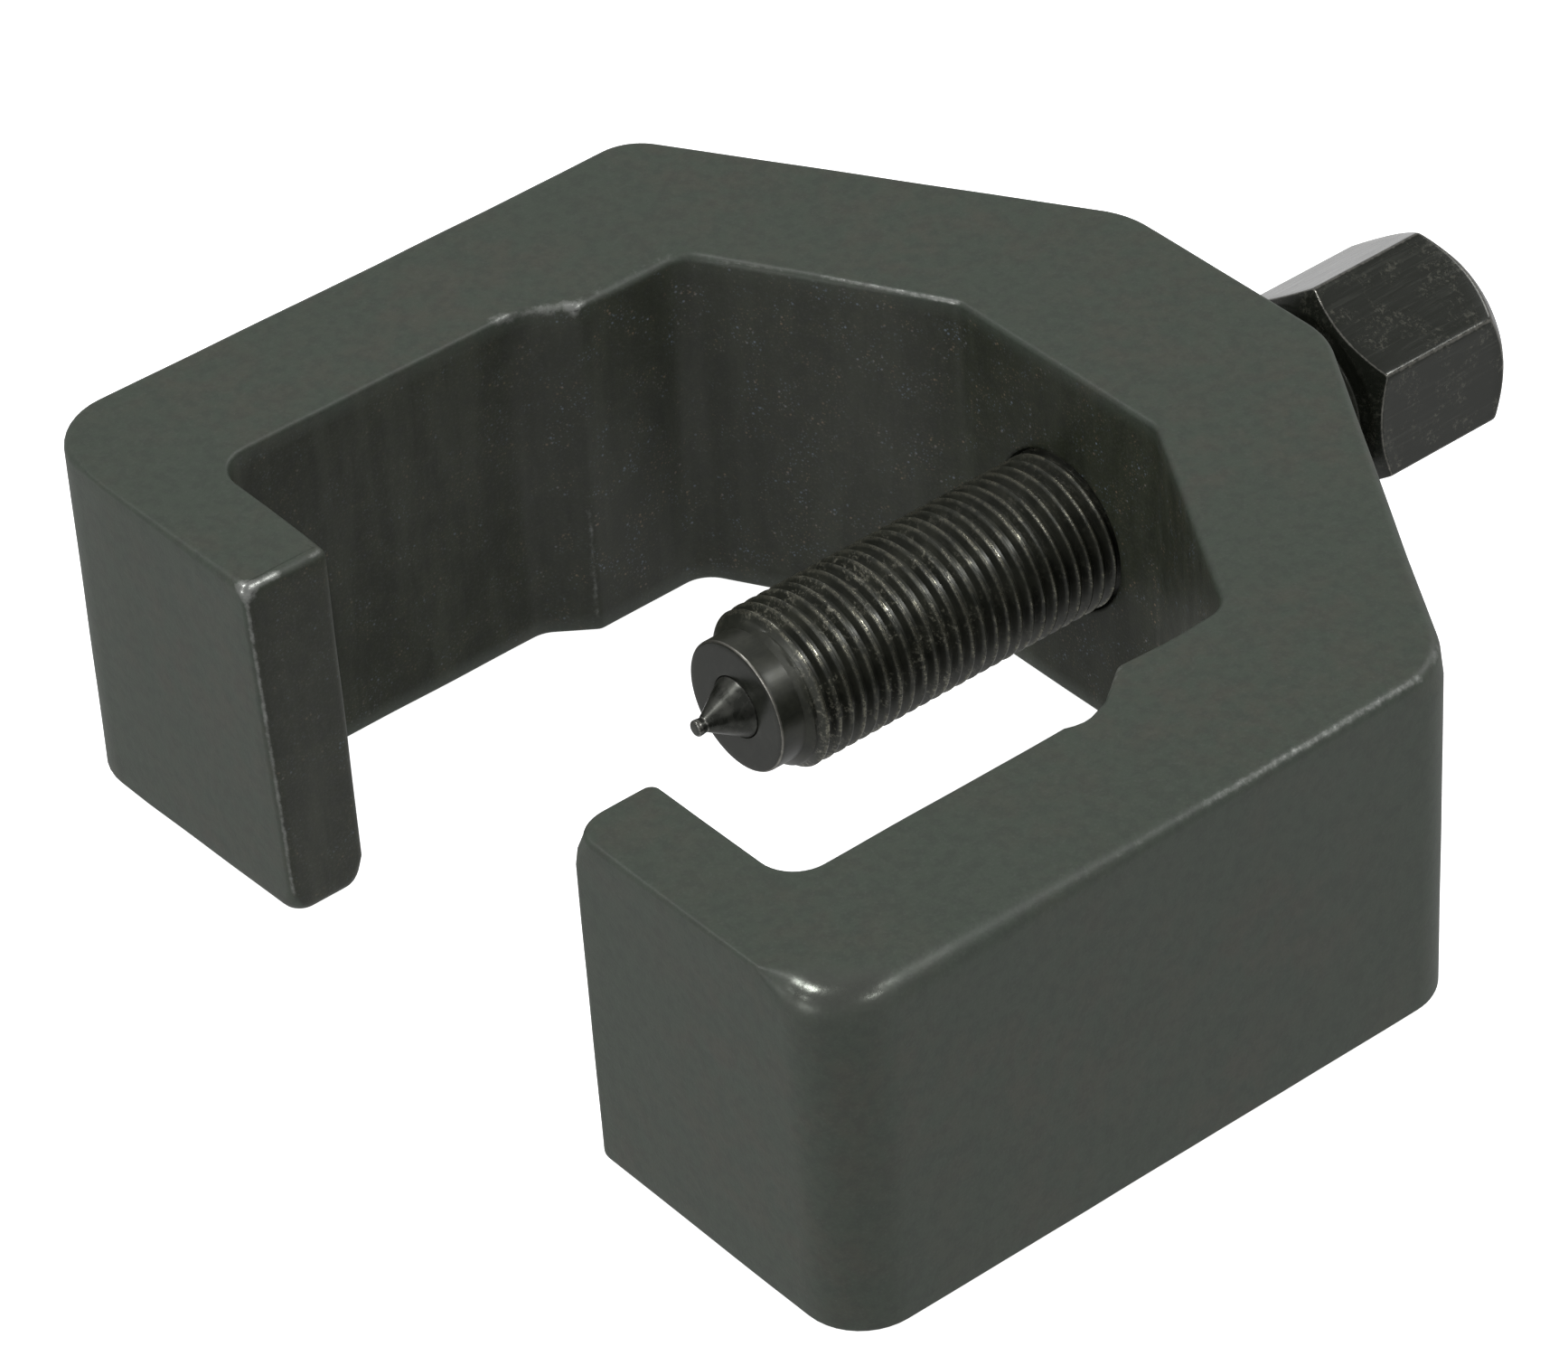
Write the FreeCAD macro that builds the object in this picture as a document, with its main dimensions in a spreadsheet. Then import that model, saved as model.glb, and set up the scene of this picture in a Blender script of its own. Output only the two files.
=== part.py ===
import FreeCAD, Part
import math
import os
import Sketcher

# Ball joint separator: a one-piece jaw frame, and a forcing screw with a live pilot point.
#
# +X runs across the two jaws, +Y from the jaws back to the screw's head, and +Z is up.
# The tool lies on its broad bottom face. The origin is on that face, in the middle of the
# tool's box, so the jaws' front faces stand at -overall_length / 2. Lengths are millimetres.

SIZES = [
    ("overall_length", 120.0, "jaw fronts to the end of the hex head"),
    ("body_width", 110.7, "across both arms"),
    ("body_height", 37.1, "thickness of the forged frame"),
    ("body_length", 93.2, "jaw fronts to the frame's back"),
    ("side_length", 67.65, "straight outer side of an arm"),
    ("back_width", 26.6, "flat behind the hub"),
    ("jaw_gap", 44.2, "between the two hooks"),
    ("hook_thickness", 8.1, "a hook, front to back"),
    ("pocket_width", 79.7, "between the arms behind the hooks"),
    ("pocket_rear_width", 73.2, "between the arms behind the step"),
    ("step_start", 42.5, "jaw fronts to the wide end of the step"),
    ("step_end", 46.9, "jaw fronts to the narrow end of the step"),
    ("pocket_side_length", 59.1, "jaw fronts to the pocket's slanted rear walls"),
    ("pocket_back_width", 26.6, "flat of the hub inside the pocket"),
    ("pocket_depth", 72.35, "jaw fronts to that flat"),
    ("outer_front_radius", 6.0, "upright outer corner at a jaw's front"),
    ("shoulder_radius", 5.6, "upright corner, arm to slanted back"),
    ("back_radius", 9.0, "upright corner, slanted back to back flat"),
    ("hook_inner_radius", 3.5, "upright corner behind a hook"),
    ("step_radius", 3.0, "upright corner at the step's wide end"),
    ("pocket_rear_radius", 3.25, "upright corner, arm to slanted rear wall"),
    ("pocket_back_radius", 2.5, "upright corner, slanted rear wall to hub"),
    ("hook_front_radius", 1.2, "upright front corner at a hook's end"),
    ("hook_rear_radius", 1.1, "upright rear corner at a hook's end"),
    ("step_crest_radius", 1.3, "upright edge at the step's narrow end"),
    ("edge_break", 0.7, "rounding of the frame's top and bottom edges"),
    ("hole_radius", 7.925, "screw hole, at the thread's outer radius"),
    ("countersink_radius", 8.9, "mouths of the screw hole"),
    ("countersink_depth", 1.0, "mouths of the screw hole"),
    ("thread_radius", 7.875, "crests of the 5/8 in - 18 thread"),
    ("nose_radius", 6.45, "plain nose ahead of the thread"),
    ("nose_start", 34.1, "jaw fronts to the nose's face"),
    ("nose_length", 2.6, "plain nose"),
    ("thread_lead", 1.2, "cone from the nose up to the crests"),
    ("neck_radius", 6.95, "relief under the head"),
    ("neck_length", 1.8, "relief under the head"),
    ("head_length", 16.9, "hex head"),
    ("head_flats", 19.05, "3/4 in across flats"),
    ("head_turn", 33.5, "degrees from +X to the head's first corner"),
    ("head_end_radius", 8.4, "flat end of the head"),
    ("head_end_chamfer", 2.3, "depth of the end chamfer at the corners"),
    ("head_seat_radius", 9.0, "flat under the head"),
    ("head_seat_chamfer", 1.4, "depth of the lower chamfer at the corners"),
    ("pilot_bore_radius", 3.0, "bore in the nose for the pilot's stem"),
    ("pilot_bore_depth", 11.51, "nose face to the end of the bore's wall"),
    ("drill_point_depth", 1.803, "118 degree end of the bore"),
    ("ring_station", 3.5, "nose face to the middle of the retaining ring"),
    ("ring_groove_width", 1.0, "grooves for the ring in bore and stem"),
    ("bore_groove_radius", 3.5, "bottom of the groove in the bore"),
    ("stem_groove_radius", 2.45, "bottom of the groove in the stem"),
    ("ring_radius", 3.0, "middle of the ring's wire"),
    ("ring_wire_radius", 0.4, "ring's wire"),
    ("ring_sweep", 325.0, "degrees of the open ring"),
    ("stem_radius", 2.95, "pilot's stem and foot of its cone"),
    ("stem_length", 7.0, "stem inside the nose"),
    ("stem_chamfer", 0.4, "rear end of the stem"),
    ("point_half_angle", 30.0, "degrees, of the centring cone"),
    ("nub_radius", 0.8, "small nub at the cone's tip"),
    ("nub_length", 0.98, "small nub at the cone's tip"),
    ("nub_rounding", 0.3, "rim of the nub"),
    ("ball_radius", 2.9, "thrust ball behind the stem"),
    ("ball_gap", 0.02, "play between the stem and the ball"),
]

# The thread is not cut in the solids. Its crests and the hole are plain cylinders that
# run 0.05 mm apart, and one turn of the screw moves it by the thread's pitch, 25.4 / 18 mm.


def make_sheet(doc):
    """Put the driving dimensions in a spreadsheet, one row each."""
    sheet = doc.addObject("Spreadsheet::Sheet", "Sizes")
    for row, (alias, value, meaning) in enumerate(SIZES, start=1):
        sheet.set(f"A{row}", alias)
        sheet.set(f"B{row}", str(value))
        sheet.set(f"C{row}", meaning)
        sheet.setAlias(f"B{row}", alias)
    doc.recompute()
    return sheet


def from_front(distance):
    """Expression for the Y of a place, from its distance behind the jaw fronts."""
    return f"{distance} - Sizes.overall_length / 2"


def origin_plane(body, role):
    """One of a body's own planes, such as XY_Plane."""
    return next(plane for plane in body.Origin.OriginFeatures if plane.Role == role)


def new_body(doc, label, height="0"):
    """Start a body whose origin stands at a height above the tool's bottom face."""
    body = doc.addObject("PartDesign::Body", label)
    body.Label = label
    body.setExpression("Placement.Base.z", height)
    doc.recompute()
    return body


def new_sketch(body, name, role):
    """Start a sketch on one of the body's own planes."""
    sketch = body.newObject("Sketcher::SketchObject", name)
    sketch.AttachmentSupport = [(origin_plane(body, role), "")]
    sketch.MapMode = "FlatFace"
    return sketch


def draw_outline(sketch, corners):
    """Close an outline through corners, each a pair of expressions for x and y."""
    points = []
    for x, y in corners:
        points.append(FreeCAD.Vector(float(sketch.evalExpression(x)), float(sketch.evalExpression(y)), 0))
    count = len(points)
    for index in range(count):
        sketch.addGeometry(Part.LineSegment(points[index], points[(index + 1) % count]), False)
    for index in range(count):
        sketch.addConstraint(Sketcher.Constraint("Coincident", index, 2, (index + 1) % count, 1))
    for index, (x, y) in enumerate(corners):
        for kind, expression, axis, value in (
            ("DistanceX", x, -2, points[index].x),
            ("DistanceY", y, -1, points[index].y),
        ):
            if expression == "0":
                sketch.addConstraint(Sketcher.Constraint("PointOnObject", index, 1, axis))
            else:
                number = sketch.addConstraint(Sketcher.Constraint(kind, -1, 1, index, 1, value))
                sketch.setExpression(f"Constraints[{number}]", expression)


def turn_about_y(body, kind, name, sketch):
    """Revolve or groove a sketch a full turn about its own vertical axis."""
    feature = body.newObject(kind, name)
    feature.Profile = sketch
    feature.ReferenceAxis = (sketch, ["V_Axis"])
    feature.Angle = 360.0
    return feature


def upright_edges(shape, x, y):
    """Names of the upright edges of a shape that stand at (x, y)."""
    near = 0.01
    names = []
    for number, edge in enumerate(shape.Edges, start=1):
        ends = [vertex.Point for vertex in edge.Vertexes]
        if len(ends) == 2 and all(math.hypot(end.x - x, end.y - y) < near for end in ends):
            names.append(f"Edge{number}")
    return names


def round_corners(body, name, base, corners, radius):
    """Fillet the upright edges at corners, each an (x, y) pair, with one sheet radius."""
    edges = []
    for x, y in corners:
        edges += upright_edges(base.Shape, x, y)
    if len(edges) != len(corners):
        raise RuntimeError(f"{name}: {len(edges)} edges found for {len(corners)} corners")
    fillet = body.newObject("PartDesign::Fillet", name)
    fillet.Base = (base, edges)
    fillet.setExpression("Radius", f"Sizes.{radius}")
    body.Document.recompute()
    return fillet


def rim_edges(shape, heights):
    """Names of the edges of a shape that lie flat at one of the heights."""
    near = 0.001
    names = []
    for number, edge in enumerate(shape.Edges, start=1):
        low, high = edge.BoundBox.ZMin, edge.BoundBox.ZMax
        if high - low < near and any(abs(low - height) < near for height in heights):
            names.append(f"Edge{number}")
    return names


def make_jaw_frame(doc, sheet):
    """The C-shaped frame: two hooked arms joined by a hub with the screw hole."""
    body = new_body(doc, "jaw_frame")
    half = new_sketch(body, "half_outline", "XY_Plane")
    draw_outline(
        half,
        [
            ("Sizes.jaw_gap / 2", from_front("0")),
            ("Sizes.body_width / 2", from_front("0")),
            ("Sizes.body_width / 2", from_front("Sizes.side_length")),
            ("Sizes.back_width / 2", from_front("Sizes.body_length")),
            ("0", from_front("Sizes.body_length")),
            ("0", from_front("Sizes.pocket_depth")),
            ("Sizes.pocket_back_width / 2", from_front("Sizes.pocket_depth")),
            ("Sizes.pocket_rear_width / 2", from_front("Sizes.pocket_side_length")),
            ("Sizes.pocket_rear_width / 2", from_front("Sizes.step_end")),
            ("Sizes.pocket_width / 2", from_front("Sizes.step_start")),
            ("Sizes.pocket_width / 2", from_front("Sizes.hook_thickness")),
            ("Sizes.jaw_gap / 2", from_front("Sizes.hook_thickness")),
        ],
    )
    arm = body.newObject("PartDesign::Pad", "right_half")
    arm.Profile = half
    arm.setExpression("Length", "Sizes.body_height")
    doc.recompute()

    both = body.newObject("PartDesign::Mirrored", "both_halves")
    both.Originals = [arm]
    both.MirrorPlane = (origin_plane(body, "YZ_Plane"), [""])
    body.Tip = both
    doc.recompute()

    front = -sheet.overall_length / 2
    outer = sheet.body_width / 2
    hook_end = sheet.jaw_gap / 2
    pocket = sheet.pocket_width / 2
    pocket_rear = sheet.pocket_rear_width / 2

    def both_sides(x, distance):
        return [(x, front + distance), (-x, front + distance)]

    base = both
    for name, corners, radius in (
        ("front_corners", both_sides(outer, 0), "outer_front_radius"),
        ("shoulders", both_sides(outer, sheet.side_length), "shoulder_radius"),
        ("back_corners", both_sides(sheet.back_width / 2, sheet.body_length), "back_radius"),
        ("hook_roots", both_sides(pocket, sheet.hook_thickness), "hook_inner_radius"),
        ("step_feet", both_sides(pocket, sheet.step_start), "step_radius"),
        ("rear_corners", both_sides(pocket_rear, sheet.pocket_side_length), "pocket_rear_radius"),
        ("hub_corners", both_sides(sheet.pocket_back_width / 2, sheet.pocket_depth), "pocket_back_radius"),
        ("hook_front_corners", both_sides(hook_end, 0), "hook_front_radius"),
        ("hook_rear_corners", both_sides(hook_end, sheet.hook_thickness), "hook_rear_radius"),
        ("step_crests", both_sides(pocket_rear, sheet.step_end), "step_crest_radius"),
    ):
        base = round_corners(body, name, base, corners, radius)

    rims = body.newObject("PartDesign::Fillet", "broken_edges")
    rims.Base = (base, rim_edges(base.Shape, [0, sheet.body_height]))
    rims.setExpression("Radius", "Sizes.edge_break")
    doc.recompute()

    # The hole and its two mouths are one groove about an axis at half the frame's height.
    section = new_sketch(body, "hole_section", "XY_Plane")
    section.setExpression("AttachmentOffset.Base.z", "Sizes.body_height / 2")
    draw_outline(
        section,
        [
            ("0", from_front("Sizes.pocket_depth")),
            ("Sizes.countersink_radius", from_front("Sizes.pocket_depth")),
            ("Sizes.hole_radius", from_front("Sizes.pocket_depth + Sizes.countersink_depth")),
            ("Sizes.hole_radius", from_front("Sizes.body_length - Sizes.countersink_depth")),
            ("Sizes.countersink_radius", from_front("Sizes.body_length")),
            ("0", from_front("Sizes.body_length")),
        ],
    )
    turn_about_y(body, "PartDesign::Groove", "screw_hole", section)
    doc.recompute()
    return body


def make_forcing_screw(doc):
    """The forcing screw: bored nose, threaded shank, neck and hex head in one piece."""
    body = new_body(doc, "forcing_screw", "Sizes.body_height / 2")
    head_start = "Sizes.overall_length - Sizes.head_length"
    thread_start = "Sizes.nose_start + Sizes.nose_length"
    shank = new_sketch(body, "shank_section", "XY_Plane")
    draw_outline(
        shank,
        [
            ("0", from_front("Sizes.nose_start")),
            ("Sizes.nose_radius", from_front("Sizes.nose_start")),
            ("Sizes.nose_radius", from_front(thread_start)),
            ("Sizes.thread_radius", from_front(f"{thread_start} + Sizes.thread_lead")),
            ("Sizes.thread_radius", from_front(f"{head_start} - Sizes.neck_length")),
            ("Sizes.neck_radius", from_front(f"{head_start} - Sizes.neck_length / 2")),
            ("Sizes.neck_radius", from_front(head_start)),
            ("0", from_front(head_start)),
        ],
    )
    turn_about_y(body, "PartDesign::Revolution", "shank", shank)
    doc.recompute()

    # The hexagon is drawn on the XZ plane. Seen along that plane's own normal, which
    # is -Y, it is padded backwards from the head's end to its start.
    hexagon = new_sketch(body, "head_section", "XZ_Plane")
    hexagon.setExpression("AttachmentOffset.Base.z", "-Sizes.overall_length / 2")
    corner = "Sizes.head_flats / 2 / cos(30 deg)"
    draw_outline(
        hexagon,
        [
            (
                f"{corner} * cos((Sizes.head_turn + {60 * side}) * 1 deg)",
                f"{corner} * sin((Sizes.head_turn + {60 * side}) * 1 deg)",
            )
            for side in range(6)
        ],
    )
    head = body.newObject("PartDesign::Pad", "head")
    head.Profile = hexagon
    head.setExpression("Length", "Sizes.head_length")
    doc.recompute()

    chamfers = new_sketch(body, "end_chamfer", "XY_Plane")
    draw_outline(
        chamfers,
        [
            ("Sizes.head_end_radius", from_front("Sizes.overall_length")),
            (corner, from_front("Sizes.overall_length - Sizes.head_end_chamfer")),
            (f"{corner} + 2", from_front("Sizes.overall_length - Sizes.head_end_chamfer")),
            (f"{corner} + 2", from_front("Sizes.overall_length + 1")),
            ("Sizes.head_end_radius", from_front("Sizes.overall_length + 1")),
        ],
    )
    turn_about_y(body, "PartDesign::Groove", "head_end", chamfers)
    doc.recompute()

    seat = new_sketch(body, "seat_chamfer", "XY_Plane")
    draw_outline(
        seat,
        [
            ("Sizes.head_seat_radius", from_front(head_start)),
            (corner, from_front(f"{head_start} + Sizes.head_seat_chamfer")),
            (f"{corner} + 2", from_front(f"{head_start} + Sizes.head_seat_chamfer")),
            (f"{corner} + 2", from_front(f"{head_start} - 1")),
            ("Sizes.head_seat_radius", from_front(f"{head_start} - 1")),
        ],
    )
    turn_about_y(body, "PartDesign::Groove", "head_seat", seat)
    doc.recompute()

    # The bore holds the pilot's stem, its ring's groove and the ball in its drilled end.
    groove_front = "Sizes.nose_start + Sizes.ring_station - Sizes.ring_groove_width / 2"
    groove_back = "Sizes.nose_start + Sizes.ring_station + Sizes.ring_groove_width / 2"
    bore_end = "Sizes.nose_start + Sizes.pilot_bore_depth"
    bore = new_sketch(body, "bore_section", "XY_Plane")
    draw_outline(
        bore,
        [
            ("0", from_front("Sizes.nose_start")),
            ("Sizes.pilot_bore_radius", from_front("Sizes.nose_start")),
            ("Sizes.pilot_bore_radius", from_front(groove_front)),
            ("Sizes.bore_groove_radius", from_front(groove_front)),
            ("Sizes.bore_groove_radius", from_front(groove_back)),
            ("Sizes.pilot_bore_radius", from_front(groove_back)),
            ("Sizes.pilot_bore_radius", from_front(bore_end)),
            ("0", from_front(f"{bore_end} + Sizes.drill_point_depth")),
        ],
    )
    turn_about_y(body, "PartDesign::Groove", "pilot_bore", bore)
    doc.recompute()
    return body


def make_pilot_point(doc):
    """The pilot: a 60 degree point with a nub, on a grooved stem that turns in the nose."""
    body = new_body(doc, "pilot_point", "Sizes.body_height / 2")
    cone = "(Sizes.stem_radius - Sizes.nub_radius) / tan(Sizes.point_half_angle * 1 deg)"
    tip = f"Sizes.nose_start - {cone} - Sizes.nub_length"
    groove_front = "Sizes.nose_start + Sizes.ring_station - Sizes.ring_groove_width / 2"
    groove_back = "Sizes.nose_start + Sizes.ring_station + Sizes.ring_groove_width / 2"
    stem_end = "Sizes.nose_start + Sizes.stem_length"
    section = new_sketch(body, "point_section", "XY_Plane")
    draw_outline(
        section,
        [
            ("0", from_front(tip)),
            ("Sizes.nub_radius - Sizes.nub_rounding", from_front(tip)),
            ("Sizes.nub_radius", from_front(f"{tip} + Sizes.nub_rounding")),
            ("Sizes.nub_radius", from_front(f"{tip} + Sizes.nub_length")),
            ("Sizes.stem_radius", from_front("Sizes.nose_start")),
            ("Sizes.stem_radius", from_front(groove_front)),
            ("Sizes.stem_groove_radius", from_front(groove_front)),
            ("Sizes.stem_groove_radius", from_front(groove_back)),
            ("Sizes.stem_radius", from_front(groove_back)),
            ("Sizes.stem_radius", from_front(f"{stem_end} - Sizes.stem_chamfer")),
            ("Sizes.stem_radius - Sizes.stem_chamfer", from_front(stem_end)),
            ("0", from_front(stem_end)),
        ],
    )
    turn_about_y(body, "PartDesign::Revolution", "point_and_stem", section)
    doc.recompute()
    return body


def make_thrust_ball(doc):
    """The ball that carries the pilot's thrust into the drilled end of the bore."""
    ball = doc.addObject("Part::Sphere", "thrust_ball")
    ball.Label = "thrust_ball"
    ball.setExpression("Radius", "Sizes.ball_radius")
    station = "Sizes.nose_start + Sizes.stem_length + Sizes.ball_gap + Sizes.ball_radius"
    ball.setExpression("Placement.Base.y", from_front(station))
    ball.setExpression("Placement.Base.z", "Sizes.body_height / 2")
    return ball


def make_retaining_ring(doc):
    """The open wire ring that keeps the pilot's stem in the nose."""
    ring = doc.addObject("Part::Torus", "retaining_ring")
    ring.Label = "retaining_ring"
    ring.setExpression("Radius1", "Sizes.ring_radius")
    ring.setExpression("Radius2", "Sizes.ring_wire_radius")
    ring.setExpression("Angle3", "Sizes.ring_sweep")
    ring.Placement.Rotation = FreeCAD.Rotation(FreeCAD.Vector(1, 0, 0), 90)
    ring.setExpression("Placement.Base.y", from_front("Sizes.nose_start + Sizes.ring_station"))
    ring.setExpression("Placement.Base.z", "Sizes.body_height / 2")
    return ring


def check_document(doc, pieces):
    """Stop if any object failed to compute, or if a piece is not one valid solid."""
    for item in doc.Objects:
        if "Invalid" in item.State or "Error" in item.State:
            raise RuntimeError(f"{item.Label} did not compute: {item.State}")
    for piece in pieces:
        shape = piece.Shape
        if shape.isNull() or not shape.isValid() or len(shape.Solids) != 1:
            raise RuntimeError(f"{piece.Label} is not one valid solid")


def main():
    """Build the document, check it, and write one STEP file for each piece."""
    doc = FreeCAD.newDocument("ball_joint_separator")
    sheet = make_sheet(doc)
    pieces = [
        make_jaw_frame(doc, sheet),
        make_forcing_screw(doc),
        make_pilot_point(doc),
        make_thrust_ball(doc),
        make_retaining_ring(doc),
    ]
    doc.recompute()
    check_document(doc, pieces)
    os.makedirs("parts", exist_ok=True)
    for piece in pieces:
        box = piece.Shape.BoundBox
        print(
            f"{piece.Label}: volume {piece.Shape.Volume:.1f} mm3,",
            f"x {box.XMin:.2f} to {box.XMax:.2f}, y {box.YMin:.2f} to {box.YMax:.2f},",
            f"z {box.ZMin:.2f} to {box.ZMax:.2f}",
        )
        piece.Shape.exportStep(f"parts/{piece.Label}.step")


main()
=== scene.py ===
import math

import bpy
import numpy as np
from mathutils import Matrix, Vector, noise


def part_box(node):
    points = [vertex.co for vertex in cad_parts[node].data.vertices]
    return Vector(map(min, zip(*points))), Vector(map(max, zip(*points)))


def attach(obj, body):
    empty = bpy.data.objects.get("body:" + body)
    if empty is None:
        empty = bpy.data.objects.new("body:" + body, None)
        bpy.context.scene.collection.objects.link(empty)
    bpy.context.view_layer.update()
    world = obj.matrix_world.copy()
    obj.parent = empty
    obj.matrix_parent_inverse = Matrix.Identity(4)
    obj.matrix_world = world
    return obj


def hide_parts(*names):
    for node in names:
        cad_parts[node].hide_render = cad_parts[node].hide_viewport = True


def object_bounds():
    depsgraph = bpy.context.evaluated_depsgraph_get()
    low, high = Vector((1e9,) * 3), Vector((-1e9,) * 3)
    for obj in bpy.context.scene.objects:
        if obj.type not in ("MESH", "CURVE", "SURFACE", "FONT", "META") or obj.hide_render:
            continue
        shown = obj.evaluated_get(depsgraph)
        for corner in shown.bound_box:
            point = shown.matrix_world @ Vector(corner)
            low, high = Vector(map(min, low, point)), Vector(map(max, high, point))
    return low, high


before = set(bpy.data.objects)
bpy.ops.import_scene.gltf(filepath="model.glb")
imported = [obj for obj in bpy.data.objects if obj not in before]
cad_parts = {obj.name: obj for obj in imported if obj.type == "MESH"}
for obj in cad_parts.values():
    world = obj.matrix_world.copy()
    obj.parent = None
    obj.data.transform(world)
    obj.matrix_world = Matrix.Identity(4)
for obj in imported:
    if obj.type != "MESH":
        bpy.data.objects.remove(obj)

# A ball joint separator on a pale floor: a dark forged jaw frame, and the threaded forcing
# screw with its live pilot point. Sizes are millimetres in the CAD's own axes (+X across the
# jaws, +Y from the jaws to the screw's head, +Z up), and meshes are written out in metres.

CAD_LOW, CAD_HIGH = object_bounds()
MM = 0.001

FRAME_LOW, FRAME_HIGH = (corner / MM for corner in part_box("jaw_frame"))
SCREW_LOW, SCREW_HIGH = (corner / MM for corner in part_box("forcing_screw"))
PILOT_LOW, PILOT_HIGH = (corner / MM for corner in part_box("pilot_point"))
RING_LOW, RING_HIGH = (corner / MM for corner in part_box("retaining_ring"))

# Jaw frame. Distances run back from the jaws' front faces.
FRONT = FRAME_LOW.y
HEIGHT = FRAME_HIGH.z
HALF_WIDTH = FRAME_HIGH.x
BODY_LENGTH = FRAME_HIGH.y - FRONT
SIDE_LENGTH = 67.65
HALF_BACK = 13.3
RIGHT_HOOK_END = 21.4
LEFT_HOOK_END = 21.85
HOOK_THICKNESS = 8.1
HALF_POCKET = 39.85
HALF_POCKET_REAR = 36.6
STEP_START = 42.5
STEP_END = 46.9
POCKET_SIDE = 59.1
HALF_HUB = 13.3
POCKET_DEPTH = 72.35

# How far the faces lean out at the top, how far from a hook's end its lean fades away, and
# how high the forging's faint waves stand.
FRONT_LEAN = 1.1
SIDE_LEAN = 0.6
RIGHT_END_LEAN = 0.6
LEFT_END_LEAN = 0.95
END_LEAN_REACH = 6
UNEVENNESS = 0.05

BOTTOM_ROUNDING = 0.6
LEFT_CORNER_RADIUS = 6.6
SIDE_STATION = 53

# Radii of the right hook's tip, the right shoulder and the left hook's tip, at three heights.
BOTTOM_RADII = (1.2, 5.6, 2.2)
MIDDLE_RADII = (1.2, 5.6, 0.9)
TOP_RADII = (3.3, 8.5, 0.9)
TIP_DEPTH = 3.0
LEFT_TIP_ROUNDING = 1.5
SCALLOP_PLACE = 39.9
SCALLOP_LENGTH = 3.8
SCALLOP_DEPTH = 0.5

HOLE_RADIUS = 7.925
MOUTH_RADIUS = 8.25
MOUTH_DEPTH = 1.0

# Mesh cells from the middle of a corner to its end, across a hook's end, up a wall, over a
# rounded edge, and along each side of the square in the wall about an end of the hole.
CORNER_CELLS = 5
ACROSS_CELLS = 8
WALL_CELLS = 22
ROUND_CELLS = 6
HOLE_CELLS = 14

# Forcing screw.
AXIS_Z = HEIGHT / 2
NOSE_FACE = SCREW_LOW.y
HEAD_END = SCREW_HIGH.y
PITCH = 25.4 / 18
THREAD_RADIUS = 7.875
ROOT_RADIUS = 7.07
NOSE_RADIUS = 6.45
NOSE_LENGTH = 2.6
THREAD_LEAD = 1.2
NECK_RADIUS = 6.95
NECK_LENGTH = 1.8
HEAD_LENGTH = 16.9
HEAD_FLATS = 19.05
HEAD_TURN = 33.5
HEAD_END_RADIUS = 8.4
HEAD_END_CHAMFER = 2.3
SEAT_RADIUS = 9.0
SEAT_CHAMFER = 1.4
HEX_EDGE_RADIUS = 0.6
BORE_RADIUS = 3.0
BORE_DEPTH = 11.51
DRILL_POINT = 1.803
GROOVE_RADIUS = 3.5
GROOVE_WIDTH = 1.0
GROOVE_FRONT = (RING_LOW.y + RING_HIGH.y - GROOVE_WIDTH) / 2
GROOVE_BACK = GROOVE_FRONT + GROOVE_WIDTH

# In degrees: how far a head corner's rounding reaches on each side, and where the mesh's
# columns stand from one corner to the next.
HEX_EDGE_REACH = 1.81
HEX_OFFSETS = [0, 0.7, 1.8, 3.6] + [6 + 3 * step for step in range(17)] + [56.4, 58.2, 59.3]

# Pilot point.
STEM_RADIUS = PILOT_HIGH.x
STEM_GROOVE_RADIUS = 2.45
STEM_CHAMFER = 0.4
NUB_RADIUS = 0.8
NUB_LENGTH = 0.98

# Camera, as the picture was taken, with its angles in degrees.
CAMERA_AIM = Vector((-0.2, -20.18, 18.65))
CAMERA_DISTANCE = 666.29
CAMERA_AZIMUTH = -37.848
CAMERA_ELEVATION = 37.523
CAMERA_ROLL = -3.292
CAMERA_LENS = 172.5

# The widest turn, in degrees, between faces that shade as one surface.
SHARP_ANGLE = 38

# Studio, with its sizes in metres.
FLOOR_RADIUS = 1.6
FLOOR_DROP = 0.0003
LIGHT_DISTANCE = 1.2
SKY_STRENGTH = 0.4
TABLE_STRENGTH = 0.53

# Each soft light's name, azimuth, elevation, size and power in watts.
LIGHTS = [
    ("key_front_left", -137, 65, 0.16, 4.2),
    ("key_back_right", 49, 48, 0.13, 2.4),
    ("rear_fill", 84, 34, 0.30, 2.3),
    ("low_front", -90, 10, 0.35, 2.15),
    ("table_bounce", 148, -20, 0.60, 0.60),
    ("table_glow", 35, -32, 0.35, 0.14),
    ("corner_right", 9, 42, 0.08, 0.9),
    ("corner_left", -102, 38, 0.08, 0.5),
]


# Small helpers


def unit(vector):
    """A vector scaled to length 1."""
    return np.asarray(vector, float) / np.linalg.norm(vector)


def smooth(value, low, high):
    """A soft step from 0 at low to 1 at high."""
    t = np.clip((np.asarray(value, float) - low) / (high - low), 0, 1)
    return t * t * (3 - 2 * t)


def wander(points, size, seed):
    """Soft random values from -1 to 1 at points, changing over about size millimetres."""
    shift = Vector((seed * 17.3, seed * 5.1, seed * 9.7))
    return np.array([noise.noise(Vector(point) / size + shift) for point in points])


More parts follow.
